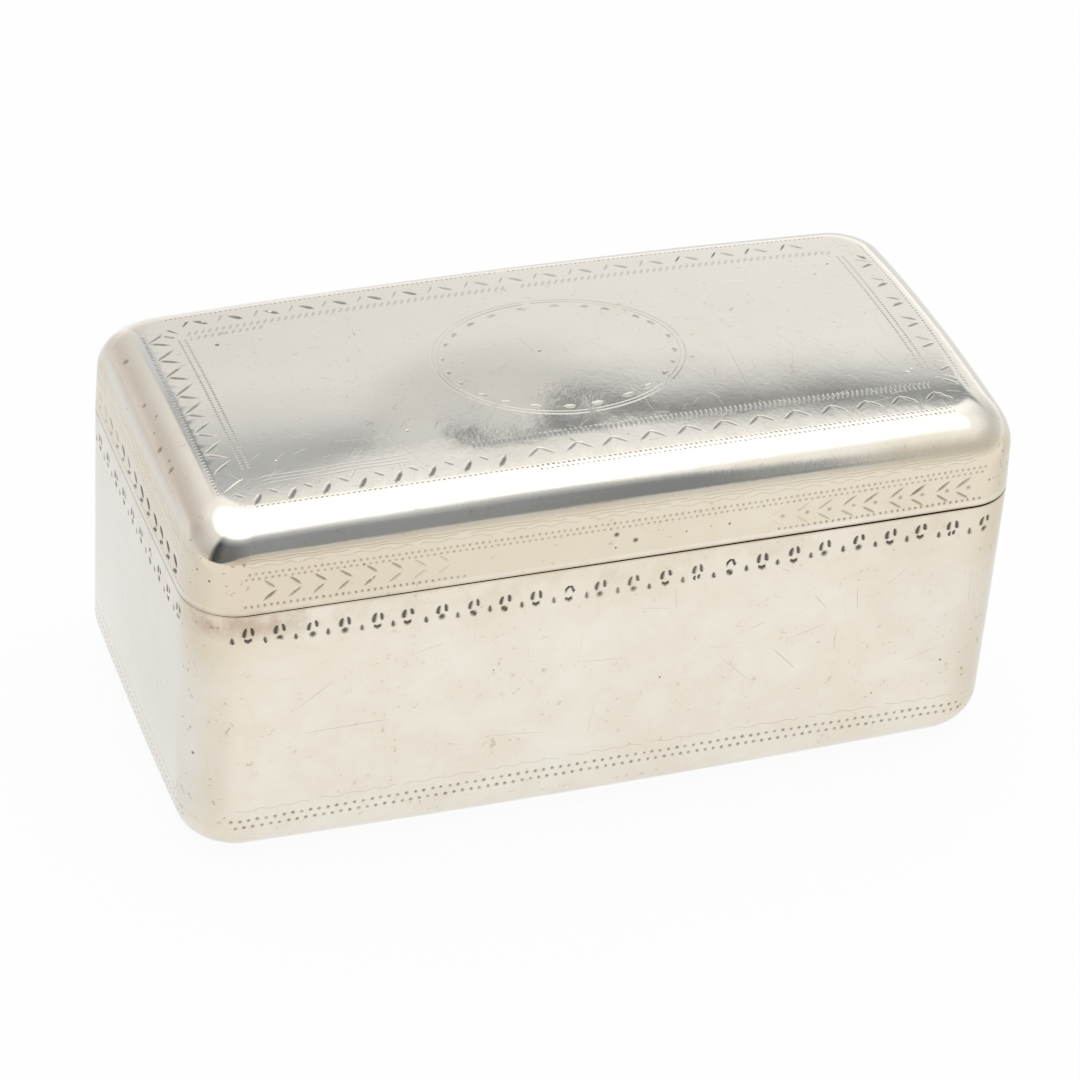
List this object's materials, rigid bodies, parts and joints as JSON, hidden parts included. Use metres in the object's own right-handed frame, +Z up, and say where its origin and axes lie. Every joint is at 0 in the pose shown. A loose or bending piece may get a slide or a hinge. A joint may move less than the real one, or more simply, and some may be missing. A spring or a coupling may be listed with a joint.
{
  "type": "snuff box",
  "caption": "Deep oblong silver snuff box with rounded corners, a bullnosed crowned lid on a knuckle hinge at the back, and an inner bezel.",
  "frame": {"origin": "centre of the base, on the plane the box stands on", "axes": "+X along the length, to the right seen from the front; +Y from the front to the hinge at the back; +Z up"},
  "size_m": [0.0866, 0.044, 0.0406],
  "materials": {
    "polished_silver": "polished silver, softly worn, with fine scratches",
    "worn_silver": "satin, rubbed silver",
    "soldered_silver": "dull soldered silver"
  },
  "bodies": {
    "box": {"body_wall": "polished_silver", "base_plate": "worn_silver", "mouth_bezel": "worn_silver", "body_hinge_bearer": "soldered_silver", "body_knuckle_1": "worn_silver", "body_knuckle_2": "worn_silver", "body_knuckle_3": "worn_silver", "body_knuckle_4": "worn_silver", "body_knuckle_5": "worn_silver", "hinge_pin": "soldered_silver", "pin_plug_left": "soldered_silver", "pin_plug_right": "soldered_silver"},
    "lid": {"lid_cover": "polished_silver", "lid_hinge_bearer": "soldered_silver", "lid_knuckle_1": "worn_silver", "lid_knuckle_2": "worn_silver", "lid_knuckle_3": "worn_silver", "lid_knuckle_4": "worn_silver"}
  },
  "joints": [
    {"name": "lid_hinge", "type": "hinge", "parent": "box", "child": "lid", "pos_m": [0, 0.02063, 0.0301], "axis": [-1, 0, 0], "range_deg": [0, 105]}
  ]
}
